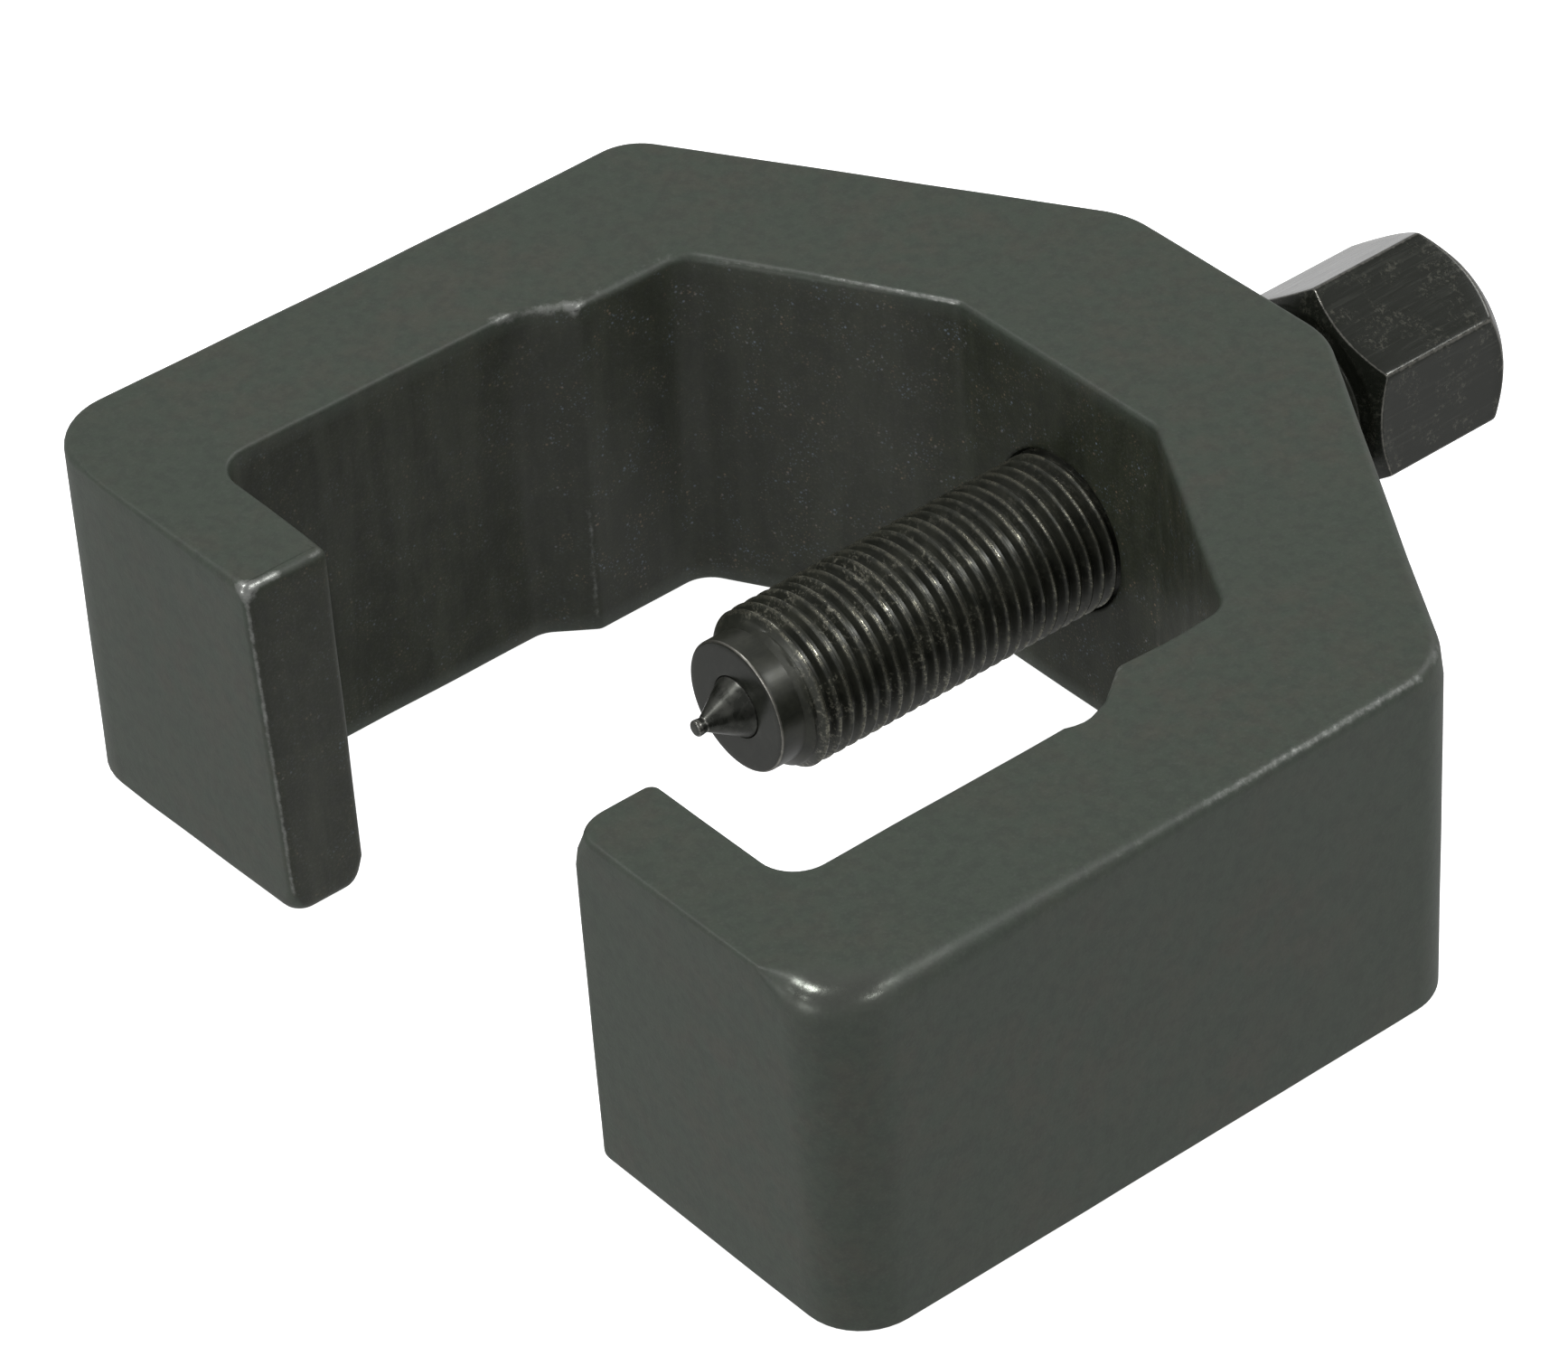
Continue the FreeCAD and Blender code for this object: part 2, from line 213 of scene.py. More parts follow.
def make_piece(name, points, faces, body, node, attributes):
    """A smooth mesh piece from points in millimetres, riding on a body in place of a node."""
    mesh = bpy.data.meshes.new(name)
    mesh.from_pydata((np.asarray(points) * MM).tolist(), [], faces)
    mesh.validate()
    mesh.shade_smooth()
    mesh.set_sharp_from_angle(angle=math.radians(SHARP_ANGLE))
    for key, values in attributes.items():
        layer = mesh.attributes.new(key, "FLOAT", "POINT")
        layer.data.foreach_set("value", np.asarray(values, np.float32))
    piece = bpy.data.objects.new(name, mesh)
    bpy.context.scene.collection.objects.link(piece)
    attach(piece, body)
    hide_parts(node)
    return piece


# Jaw frame


class Corner:
    """A corner of the frame's plan: its place, its radius, and its two rims' roundings.

    A corner with no radius is only a station on a straight, a millimetre either way.
    """

    def __init__(self, x, distance, radius, rounding, low_rounding=BOTTOM_ROUNDING):
        self.place = np.array([x, FRONT + distance])
        self.distance = distance
        self.radius = radius
        self.roundings = np.array([rounding, low_rounding])

    def mirrored(self):
        """The same corner on the other arm."""
        return Corner(-self.place[0], self.distance, self.radius, *self.roundings)


def corner_points(before, corner, after):
    """Points and outward normals through one corner of a loop that runs anticlockwise."""
    back = unit(before - corner.place)
    onward = unit(after - corner.place)
    steps = np.linspace(-1, 1, 2 * CORNER_CELLS + 1)
    if corner.radius == 0:
        points = [corner.place + onward * step for step in steps]
        return points, [np.array([onward[1], -onward[0]])] * len(steps)
    half_turn = math.acos(np.clip(-back @ onward, -1, 1)) / 2
    inward = unit(back + onward)
    along = unit(onward - back)
    centre = corner.place + inward * corner.radius / math.cos(half_turn)
    arc = [math.sin(step * half_turn) * along - math.cos(step * half_turn) * inward for step in steps]
    convex = along[0] * inward[1] - along[1] * inward[0] > 0
    points = [centre + corner.radius * direction for direction in arc]
    return points, [direction if convex else -direction for direction in arc]


def plan_loop(corners, cells):
    """The closed plan through corners, from the middle of the first one.

    cells holds the number of mesh cells on the straight after each corner. Returns the
    points, their outward normals and the rounding of the top and bottom edges there.
    """
    points, normals, roundings = [], [], []
    count = len(corners)
    arcs = [
        corner_points(corners[index - 1].place, corner, corners[(index + 1) % count].place)
        for index, corner in enumerate(corners)
    ]
    for index, corner in enumerate(corners):
        following = (index + 1) % count
        points += arcs[index][0]
        normals += arcs[index][1]
        roundings += [corner.roundings] * len(arcs[index][0])
        start, end = arcs[index][0][-1], arcs[following][0][0]
        for step in range(1, cells[index]):
            share = step / cells[index]
            points.append(start + (end - start) * share)
            normals.append(arcs[index][1][-1])
            roundings.append(corner.roundings * (1 - share) + corners[following].roundings * share)
    return [np.roll(np.array(values), -CORNER_CELLS, axis=0) for values in (points, normals, roundings)]


# Each arm's corners from the jaw back to the hub: outside, and then inside the pocket.
OUTER_ARM = [
    Corner(HALF_WIDTH - 10, 0, 0, 0.4),
    Corner(HALF_WIDTH, 0, 6.0, 2.6),
    Corner(HALF_WIDTH, SCALLOP_PLACE - 3, 0, 1.3),
    Corner(HALF_WIDTH, STEP_START, 0, 1.2),
    Corner(HALF_WIDTH, STEP_END, 0, 1.2),
    Corner(HALF_WIDTH, SIDE_STATION, 0, 1.2),
    Corner(HALF_WIDTH, SIDE_LENGTH, 5.6, 1.0),
    Corner(HALF_BACK, BODY_LENGTH, 9.0, 0.7),
]
INNER_ARM = [
    Corner(HALF_POCKET - 7, HOOK_THICKNESS, 0, 0.6),
    Corner(HALF_POCKET, HOOK_THICKNESS, 3.5, 0.6),
    Corner(HALF_POCKET, SCALLOP_PLACE - 3, 0, 0.6),
    Corner(HALF_POCKET, STEP_START, 3.0, 0.6),
    Corner(HALF_POCKET_REAR, STEP_END, 1.3, 0.7),
    Corner(HALF_POCKET_REAR, SIDE_STATION, 0, 1.2),
    Corner(HALF_POCKET_REAR, POCKET_SIDE, 3.25, 0.9),
    Corner(HALF_HUB, POCKET_DEPTH, 2.5, 0.6),
]

# Places in OUTER_ARM, and the mesh cells along the straights: a hook's front or back, each
# arm from corner to corner, and the middle of the back or the hub.
FRONT_CORNER = 1
SHOULDER = 6
HOOK_CELLS = 12
ARM_CELLS = [6, 20, 4, 4, 4, 8, 24]
MIDDLE_CELLS = 16


def frame_plan(right_tip, right_shoulder, left_tip):
    """The plan of the whole frame, from the right hook's front corner.

    The three radii are those that change from the bottom of the frame to the top.
    """
    right, left = RIGHT_HOOK_END, -LEFT_HOOK_END
    right_hook = [Corner(right, 0, right_tip, 0.6, 1.1), Corner(right, HOOK_THICKNESS, 1.1, 0.6)]
    left_hook = [
        Corner(left, 0, left_tip, 0.9, LEFT_TIP_ROUNDING),
        Corner(left, HOOK_THICKNESS, left_tip, 1.1, LEFT_TIP_ROUNDING),
    ]
    right_arm = list(OUTER_ARM)
    right_arm[SHOULDER] = Corner(HALF_WIDTH, SIDE_LENGTH, right_shoulder, 1.2)
    left_arm = [corner.mirrored() for corner in OUTER_ARM]
    left_arm[FRONT_CORNER] = Corner(-HALF_WIDTH, 0, LEFT_CORNER_RADIUS, 0.8)
    corners = [right_hook[0]] + right_arm + left_arm[::-1] + left_hook
    corners += [corner.mirrored() for corner in INNER_ARM]
    corners += INNER_ARM[::-1] + [right_hook[1]]
    half = [HOOK_CELLS] + ARM_CELLS + [MIDDLE_CELLS] + ARM_CELLS[::-1] + [HOOK_CELLS]
    return plan_loop(corners, half + [ACROSS_CELLS] + half + [ACROSS_CELLS])


def cut_scallop(points, normals):
    """Sink the shallow ground hollow ahead of the step into the right arm's inner wall."""
    along = (points[:, 1] - FRONT - SCALLOP_PLACE) / (SCALLOP_LENGTH / 2)
    inside = (points[:, 0] > HALF_HUB) & (points[:, 0] < HALF_POCKET + 1)
    depth = SCALLOP_DEPTH * np.clip(1 - along**2, 0, 1) * inside
    return points - normals * depth[:, None]


class Sheet:
    """Points and faces gathered piece by piece into one mesh."""

    def __init__(self):
        self.points = []
        self.faces = []

    def add(self, points):
        """Add points and return their numbers."""
        first = len(self.points)
        self.points += [tuple(point) for point in points]
        return list(range(first, first + len(points)))

    def strip(self, ring, following, closed=True):
        """Join two rows of the same length with quads."""
        count = len(ring)
        for index in range(count if closed else count - 1):
            after = (index + 1) % count
            self.faces.append((ring[index], following[index], following[after], ring[after]))

    def skin(self, rows, closed=True, turned=False):
        """Join each row to the next with quads, turned over if asked."""
        for row, following in zip(rows, rows[1:]):
            first, second = (following, row) if turned else (row, following)
            self.strip(first, second, closed)

    def finished(self):
        """The points that faces use, and the faces with those points' new numbers."""
        used = sorted({number for face in self.faces for number in face})
        renumbered = {number: place for place, number in enumerate(used)}
        faces = [tuple(renumbered[number] for number in face) for face in self.faces]
        return np.array(self.points)[used], faces


def lean(points):
    """Draw the jaws' fronts forward, and the right side and hook ends outward, toward the top."""
    x, distance = points[:, 0].copy(), points[:, 1] - FRONT
    share = points[:, 2] / HEIGHT
    front = (1 - smooth(distance, 0, HOOK_THICKNESS)) * smooth(x, -HALF_WIDTH - 2, 12 - HALF_WIDTH)
    in_hook = 1 - smooth(distance, HOOK_THICKNESS, HOOK_THICKNESS + 4)
    right_end = (1 - smooth(x, RIGHT_HOOK_END, RIGHT_HOOK_END + END_LEAN_REACH)) * (x > 0)
    left_end = (1 - smooth(-x, LEFT_HOOK_END, LEFT_HOOK_END + END_LEAN_REACH)) * (x < 0)
    points[:, 1] -= FRONT_LEAN * share * front
    side = smooth(x, HALF_POCKET, HALF_WIDTH) * (1 - 0.5 * smooth(distance, STEP_END, SIDE_LENGTH))
    points[:, 0] += SIDE_LEAN * share * side
    points[:, 0] += RIGHT_END_LEAN * share * right_end * in_hook
    points[:, 0] -= LEFT_END_LEAN * share * left_end * in_hook
    return points


def wall_rows(plans, roundings):
    """The frame's rows of points from the top face's rim down to the bottom face's rim.

    The walls follow the middle one of the three plans, the top one near the top face and
    the bottom one near the bottom face.
    """
    bottom, middle, top = plans
    upper, lower = roundings[:, 0], roundings[:, 1]
    rows = []
    quarter = np.linspace(0, math.pi / 2, ROUND_CELLS + 1)
    for angle in quarter[:-1]:
        rows.append((upper * (1 - math.sin(angle)), HEIGHT - upper * (1 - math.cos(angle))))
    for step in range(WALL_CELLS + 1):
        drop = (HEIGHT - upper - lower) * step / WALL_CELLS
        rows.append((upper * 0, HEIGHT - upper - drop))
    for angle in quarter[-2::-1]:
        rows.append((lower * (1 - math.sin(angle)), lower * (1 - math.cos(angle))))
    table = []
    for inset, height in rows:
        to_top = smooth(height, HEIGHT - TIP_DEPTH, HEIGHT - TIP_DEPTH / 4)[:, None]
        to_bottom = 1 - smooth(height, TIP_DEPTH / 4, TIP_DEPTH)[:, None]
        places = middle[0] + (top[0] - middle[0]) * to_top + (bottom[0] - middle[0]) * to_bottom
        normals = middle[1] + (top[1] - middle[1]) * to_top + (bottom[1] - middle[1]) * to_bottom
        normals /= np.linalg.norm(normals, axis=1)[:, None]
        table.append(np.column_stack([places - normals * inset[:, None], height]))
    return table


def fill_broad_face(sheet, rim, stations, across, turned):
    """Fill the top or the bottom face inside its rim with rows across the C-shaped plan."""
    count = len(rim)
    inner_rim = [rim[(count - across - index) % count] for index in range(stations)]
    right_rim = [rim[(count - step) % count] for step in range(across + 1)]
    left_rim = [rim[stations - 1 + step] for step in range(across + 1)]
    outer, inner, right_end, left_end = (
        np.array([sheet.points[number] for number in numbers])
        for numbers in (rim[:stations], inner_rim, right_rim, left_rim)
    )
    shares = np.linspace(0, 1, across + 1)[:, None]
    fade_length = 8.0
    grid = [right_rim]
    for index in range(1, stations - 1):
        line = outer[index] + (inner[index] - outer[index]) * shares
        for end, first in ((right_end, 0), (left_end, stations - 1)):
            gap = np.linalg.norm(outer[index] - outer[first])
            chord = outer[first] + (inner[first] - outer[first]) * shares
            line = line + (end - chord) * (1 - smooth(gap, 0, fade_length))
        grid.append([rim[index]] + sheet.add(line[1:-1]) + [inner_rim[index]])
    sheet.skin(grid + [left_rim], closed=False, turned=turned)


def window_rim(rows, first_row, first_column):
    """Numbers round a square window of HOLE_CELLS in the wall, from its top left corner."""
    side = HOLE_CELLS
    rim = [rows[first_row][first_column + step] for step in range(side)]
    rim += [rows[first_row + step][first_column + side] for step in range(side)]
    rim += [rows[first_row + side][first_column + side - step] for step in range(side)]
    rim += [rows[first_row + side - step][first_column] for step in range(side)]
    return rim


def bore_profile():
    """Radius and Y of the screw hole's rings, from the back face to the pocket's hub."""
    soft = 0.12
    back = FRONT + BODY_LENGTH
    hub = FRONT + POCKET_DEPTH
    near_mouth = [
        (MOUTH_RADIUS + 0.5, 0.0),
        (MOUTH_RADIUS + soft, 0.0),
        (MOUTH_RADIUS, soft / 3),
        (MOUTH_RADIUS - soft, soft),
        (HOLE_RADIUS + soft, MOUTH_DEPTH - soft),
        (HOLE_RADIUS, MOUTH_DEPTH + soft),
    ]
    depth_cells = 10
    rings = [(radius, back - depth) for radius, depth in near_mouth]
    start, end = rings[-1][1], hub + near_mouth[-1][1]
    rings += [(HOLE_RADIUS, start + (end - start) * step / depth_cells) for step in range(1, depth_cells)]
    return rings + [(radius, hub + depth) for radius, depth in near_mouth[::-1]]


def bore_through(sheet, back_rim, hub_rim):
    """Run the screw hole from a window in the back wall to the one in the pocket's hub."""
    count = 4 * HOLE_CELLS
    angles = math.radians(45) + 2 * math.pi * np.arange(count) / count
    edge = np.array([sheet.points[number] for number in back_rim])
    rings = [back_rim]
    for radius, y in bore_profile():
        ring = turned_ring(radius, y, angles)
        if len(rings) == 1:
            rings.append(sheet.add(edge + (ring - edge) * 0.5))
        rings.append(sheet.add(ring))
    turned = [hub_rim[(HOLE_CELLS - step) % count] for step in range(count)]
    edge = np.array([sheet.points[number] for number in turned])
    last = np.array([sheet.points[number] for number in rings[-1]])
    rings.append(sheet.add(edge + (last - edge) * 0.5))
    rings.append(turned)
    sheet.skin(rings)


def frame_mesh():
    """The points and faces of the frame's closed mesh."""
    plans = []
    for radii in (BOTTOM_RADII, MIDDLE_RADII, TOP_RADII):
        points, normals, roundings = frame_plan(*radii)
        plans.append((cut_scallop(points, normals), normals))
    across = 2 * CORNER_CELLS + ACROSS_CELLS
    count = len(points)
    stations = count // 2 - across + 1
    sheet = Sheet()
    rows = [sheet.add(row) for row in wall_rows(plans, roundings)]
    middle = (stations - 1) // 2
    first_row = ROUND_CELLS + (WALL_CELLS - HOLE_CELLS) // 2
    back_column = middle - HOLE_CELLS // 2
    hub_column = count - across - middle - HOLE_CELLS // 2
    cut = {
        (row, column + first)
        for row in range(first_row, first_row + HOLE_CELLS)
        for column in range(HOLE_CELLS)
        for first in (back_column, hub_column)
    }
    for index, (row, following) in enumerate(zip(rows, rows[1:])):
        for column in range(count):
            if (index, column) not in cut:
                after = (column + 1) % count
                sheet.faces.append((row[column], following[column], following[after], row[after]))
    fill_broad_face(sheet, rows[0], stations, across, turned=False)
    fill_broad_face(sheet, rows[-1], stations, across, turned=True)
    back_rim, hub_rim = (window_rim(rows, first_row, column) for column in (back_column, hub_column))
    bore_through(sheet, back_rim, hub_rim)
    return sheet.finished()


def line_wear(points, lines):
    """How worn each point is by its nearness to worn lines.

    Each line is two ends as (x, distance from the jaw fronts, z), a width and a strength.
    """
    worn = np.zeros(len(points))
    for start, end, width, strength in lines:
        from_start = points - (start[0], FRONT + start[1], start[2])
        run = np.subtract(end, start)
        share = np.clip(from_start @ run / (run @ run), 0, 1)
        gap = np.linalg.norm(from_start - share[:, None] * run, axis=1)
        worn = np.maximum(worn, strength * np.exp(-((gap / width) ** 2)))
    return worn


def top_line(x0, d0, x1, d1, width, strength):
    """A worn line along an edge of the top face."""
    return ((x0, d0, HEIGHT - 0.3), (x1, d1, HEIGHT - 0.3), width, strength)


def upright_line(x, distance, low, high, width, strength):
    """A worn line along an upright corner."""
    return ((x, distance, low), (x, distance, high), width, strength)


def frame_wear(points):
    """Burnished edges and corners of the jaw frame."""
    side, hook, wall, rear = HALF_WIDTH, LEFT_HOOK_END, HALF_POCKET, HALF_POCKET_REAR
    lines = [
        top_line(-hook - 0.4, 1.2, -hook - 0.4, 3.4, 0.55, 0.75),
        top_line(-hook - 0.4, 6.4, -hook - 0.4, 7.2, 0.5, 0.5),
        top_line(-hook - 0.4, 0.4, -hook - 0.4, 0.5, 0.9, 1.15),
        upright_line(-hook - 0.3, 0.3, 1, HEIGHT - 1, 0.32, 0.58),
        upright_line(-hook - 0.35, HOOK_THICKNESS - 0.4, 1, HEIGHT - 1, 0.35, 0.22),
        top_line(-hook - 3, 0.3, -side + 8, 0.3, 0.35, 0.3),
        top_line(-wall - 0.3, 12, -wall - 0.3, STEP_START - 2, 0.4, 0.25),
        top_line(-wall - 0.5, STEP_START - 2.5, -rear - 1.2, STEP_END - 0.6, 0.8, 0.6),
        top_line(-rear - 0.4, STEP_END - 0.3, -rear - 0.4, STEP_END, 0.6, 1.15),
        top_line(-rear - 0.7, STEP_END, -rear - 0.7, POCKET_SIDE - 1, 0.9, 0.4),
        top_line(-rear + 1.5, POCKET_SIDE + 1, -HALF_HUB - 12, POCKET_DEPTH - 6.3, 0.3, 0.45),
        top_line(-HALF_HUB - 12, POCKET_DEPTH - 6.3, -HALF_HUB, POCKET_DEPTH + 0.2, 0.3, 0.8),
        top_line(rear - 1.5, POCKET_SIDE + 1, HALF_HUB, POCKET_DEPTH + 0.3, 0.4, 0.3),
        top_line(wall + 0.3, 12, wall + 0.3, STEP_START - 2, 0.5, 0.3),
        top_line(wall + 0.2, STEP_START - 1, rear + 0.3, STEP_END, 0.6, 0.5),
        top_line(side - 0.5, 7, side - 0.5, 40, 0.9, 0.36),
        top_line(side - 0.5, 40, side - 0.5, SIDE_LENGTH - 3, 0.65, 0.52),
        top_line(side - 1.0, SIDE_LENGTH - 1, side - 2.6, SIDE_LENGTH + 1.5, 0.7, 0.55),
        top_line(side - 3, SIDE_LENGTH + 1.5, HALF_BACK + 3, BODY_LENGTH - 2, 0.5, 0.25),
        top_line(-side + 0.4, 5, -side + 0.4, SIDE_LENGTH - 3, 0.5, 0.3),
        top_line(-side + 3, SIDE_LENGTH + 1.5, -HALF_BACK - 3, BODY_LENGTH - 2, 0.5, 0.25),
        upright_line(-rear - 0.3, STEP_END - 0.2, 1, 14, 0.4, 0.5),
        upright_line(side - 1, SIDE_LENGTH + 0.3, 2, HEIGHT - 1, 1.6, 0.22),
        upright_line(side - 1.7, 1.7, 2, HEIGHT - 1, 2.2, 0.2),
        upright_line(-side + 1.5, 1.5, 2, HEIGHT - 1, 1.4, 0.12),
    ]
    return line_wear(points, lines)


def corner_polish(points):
    """The smooth, rubbed rounding on top of the right jaw's front corner."""
    side = HALF_WIDTH
    lines = [
        top_line(side - 5, 1.2, side - 2.6, 2.6, 1.6, 1.1),
        top_line(side - 2.6, 2.6, side - 1.2, 5, 1.6, 1.1),
        top_line(side - 0.8, 6, side - 0.8, 12, 0.9, 0.3),
    ]
    return np.clip(line_wear(points, lines), 0, 1)


def pocket_mask(points):
    """1 on the pocket's walls and the hooks' ends, and 0 on the outer faces."""
    x, distance, z = abs(points[:, 0]), points[:, 1] - FRONT, points[:, 2]
    below_top = 1 - smooth(z, HEIGHT - 1.2, HEIGHT - 0.3)
    above_bottom = smooth(z, 0.3, 1.2)
    slope = (HALF_POCKET_REAR - HALF_HUB) / (POCKET_DEPTH - POCKET_SIDE)
    slant_wall = HALF_HUB + (POCKET_DEPTH - distance) * slope
    limit = np.minimum(HALF_POCKET, np.maximum(slant_wall, HALF_HUB)) + 1.2
    side = (x < limit) & (distance > HOOK_THICKNESS - 0.8) & (distance < POCKET_DEPTH + 0.6)
    hook_end = x < LEFT_HOOK_END + 0.3
    front = distance < HOOK_THICKNESS
    mask = np.where(front, hook_end, side).astype(float)
    return mask * below_top * above_bottom


def shade_mask(points):
    """Painted shade as less sheen on the pocket's walls: most at the hub and low down."""
    x, distance, z = points[:, 0], points[:, 1] - FRONT, points[:, 2]
    inside = smooth(distance, HOOK_THICKNESS - 1, HOOK_THICKNESS + 1)
    hub = smooth(x, -HALF_HUB - 6, -HALF_HUB + 4) * smooth(distance, HOOK_THICKNESS, STEP_END)
    arm = 0.55 * inside * (1 - smooth(distance, SCALLOP_PLACE, STEP_START))
    low = 0.5 * inside * (1 - smooth(z, 0, 0.7 * HEIGHT))
    return pocket_mask(points) * np.minimum(np.maximum(hub, arm) + low, 1)


def build_frame():
    """The forged jaw frame as one closed mesh with its soft edges and screw hole."""
    points, faces = frame_mesh()
    attributes = {
        "wear": frame_wear(points),
        "pocket": pocket_mask(points),
        "shade": shade_mask(points),
        "polish": corner_polish(points),
        "deep": smooth(points[:, 1] - FRONT, SCALLOP_PLACE, STEP_END),
    }
    points = lean(points)
    points = points + UNEVENNESS * np.column_stack([wander(points, 9, seed) for seed in (1, 2, 3)])
    return make_piece("forged_jaw_frame", points, faces, "frame", "jaw_frame", attributes)


# Turned pieces


def turned_ring(radii, ys, angles):
    """Points of one ring about the screw's axis."""
    ys = np.broadcast_to(ys, angles.shape)
    return np.column_stack([radii * np.cos(angles), ys, AXIS_Z + radii * np.sin(angles)])


def rounded_profile(corners, spans):
    """A turned profile through (radius, y, size) corners, each rounded over its size.

    spans holds the number of cells on the straight after each corner. Returns one row of
    (radius, y, bend) for each ring, where bend is 1 in the middle of a rounded corner.
    """
    rows = []
    for index, (radius, y, size) in enumerate(corners):
        here = np.array([radius, y], float)
        if size == 0:
            rows.append((radius, y, 0.0))
        else:
            start = here + unit(np.array(corners[index - 1][:2]) - here) * size
            end = here + unit(np.array(corners[index + 1][:2]) - here) * size
            for t in np.linspace(0, 1, 5):
                place = (1 - t) ** 2 * start + 2 * t * (1 - t) * here + t * t * end
                rows.append((place[0], place[1], math.sin(math.pi * t)))
        if index < len(corners) - 1:
            after = np.array(corners[index + 1][:2], float)
            leave = np.array(rows[-1][:2])
            reach = after + unit(here - after) * corners[index + 1][2]
            for step in range(1, spans[index]):
                place = leave + (reach - leave) * step / spans[index]
                rows.append((place[0], place[1], 0.0))
    return np.array(rows)


def screw_angles():
    """One turn of angles, set closer together beside the six corners of the head."""
    turn = [HEAD_TURN + 60 * side + offset for side in range(6) for offset in HEX_OFFSETS]
    return np.radians(np.array(turn))


def hexagon_radius(angles):
    """Distance from the axis to the head's side at each angle, with its corners rounded."""
    half_flat = HEAD_FLATS / 2
    within = np.mod(np.degrees(angles) - HEAD_TURN, 60)
    from_corner = np.radians(np.minimum(within, 60 - within))
    straight = half_flat / np.cos(math.radians(30) - from_corner)
    centre = (half_flat - HEX_EDGE_RADIUS) / math.cos(math.radians(30))
    swing = np.clip(HEX_EDGE_RADIUS**2 - (centre * np.sin(from_corner)) ** 2, 0, None)
    rounded = centre * np.cos(from_corner) + np.sqrt(swing)
    on_corner = from_corner < math.radians(HEX_EDGE_REACH)
    return np.where(on_corner, np.minimum(rounded, straight), straight), from_corner


def thread_phases():
    """Place within a pitch and radius of each thread row, from root to root."""
    shares = [-0.5, -0.4, -0.32, -0.2, -0.09, -0.04, 0.04, 0.09, 0.2, 0.32, 0.4]
    half_crest = 0.055
    flank = 0.31
    rows = []
    for share in shares:
        climb = 1 - smooth(abs(share), half_crest, half_crest + flank + 0.06)
        straight = np.clip((half_crest + flank - abs(share)) / flank, 0, 1)
        climb = 0.25 * climb + 0.75 * straight
        rows.append((share, ROOT_RADIUS + (THREAD_RADIUS - ROOT_RADIUS) * climb, climb))
    return rows


def thread_envelope(y, start, end):
    """Largest radius of the thread at y: a lead cone, the crests, and the run out at the neck."""
    lead = NOSE_RADIUS + (THREAD_RADIUS - NOSE_RADIUS) * (y - start) / THREAD_LEAD
    neck = NECK_RADIUS + (THREAD_RADIUS - NECK_RADIUS) * (end - y) / (NECK_LENGTH / 2)
    return np.minimum(THREAD_RADIUS, np.minimum(lead, neck))


def add_thread_points(sheet, angles, first_ring, last_ring, start, end):
    """Rows of point numbers along the thread between two rings, and the new points' crest marks."""
    rows = thread_phases()
    per_turn = len(rows)
    turns = math.ceil((end - start) / PITCH) + 2
    handed = (angles - angles[0]) / (2 * math.pi)
    margin = 0.01
    table, marks = [], []
    for number in range(turns * per_turn):
        share, radius, climb = rows[number % per_turn]
        place = number // per_turn + share
        y = start + (place - handed) * PITCH
        inside = (y > start + margin) & (y < end - margin)
        limit = thread_envelope(y, start, end)
        radii = np.minimum(radius, limit)
        numbers = np.where(y <= start + margin, first_ring, last_ring)
        numbers[inside] = sheet.add(turned_ring(radii, y, angles)[inside])
        cut = 0.6 * (radius > limit + 0.02)
        marks += list((np.maximum(climb, cut) * (radii > ROOT_RADIUS))[inside])
        table.append(numbers.tolist())
    return table, marks


def add_thread_faces(sheet, table, first_ring):
    """Join the thread's rows, each of which runs on into the row one turn before it."""
    per_turn = len(thread_phases())
    for number, (row, following) in enumerate(zip(table, table[1:])):
        earlier = number - per_turn
        for column in range(len(row)):
            if column + 1 < len(row):
                right, far_right = row[column + 1], following[column + 1]
            else:
                right = table[earlier][0] if earlier >= 0 else first_ring[0]
                far_right = table[earlier + 1][0] if earlier >= -1 else first_ring[0]
            face = tuple(dict.fromkeys((right, far_right, following[column], row[column])))
            if len(face) > 2:
                sheet.faces.append(face)


def head_rows(angles):
    """The head's rings from the neck to the end face, each as (radii, ys, wear)."""
    sides, from_corner = hexagon_radius(angles)
    seat_y = HEAD_END - HEAD_LENGTH
    corner_radius = HEAD_FLATS / 2 / math.cos(math.radians(30))
    seat_cuts = SEAT_CHAMFER * (sides - SEAT_RADIUS) / (corner_radius - SEAT_RADIUS)
    end_cuts = HEAD_END_CHAMFER * (sides - HEAD_END_RADIUS) / (corner_radius - HEAD_END_RADIUS)
    profiles = []
    for side, seat_cut, end_cut in zip(sides, seat_cuts, end_cuts):
        corners = [
            (NECK_RADIUS, seat_y - NECK_LENGTH / 2 + 0.05, 0),
            (NECK_RADIUS, seat_y, 0.25),
            (SEAT_RADIUS, seat_y, 0.2),
            (side, seat_y + seat_cut, 0.22),
            (side, HEAD_END - end_cut, 0.35),
            (HEAD_END_RADIUS, HEAD_END, 0.3),
            (1.0, HEAD_END, 0),
        ]
        profiles.append(rounded_profile(corners, [2, 3, 2, 12, 3, 6]))
    table = np.array(profiles)
    ridge = np.exp(-((np.degrees(from_corner) / 1.5) ** 2))
    rows = []
    for index in range(table.shape[1]):
        radii, ys, bends = table[:, index].T
        on_side = (ys > seat_y + seat_cuts - 0.05) & (ys < HEAD_END - 0.4)
        outer = (radii > SEAT_RADIUS + 0.3) | (ys > HEAD_END - 4)
        rows.append((radii, ys, np.maximum(0.8 * bends * outer, 0.75 * ridge * on_side)))
    return rows


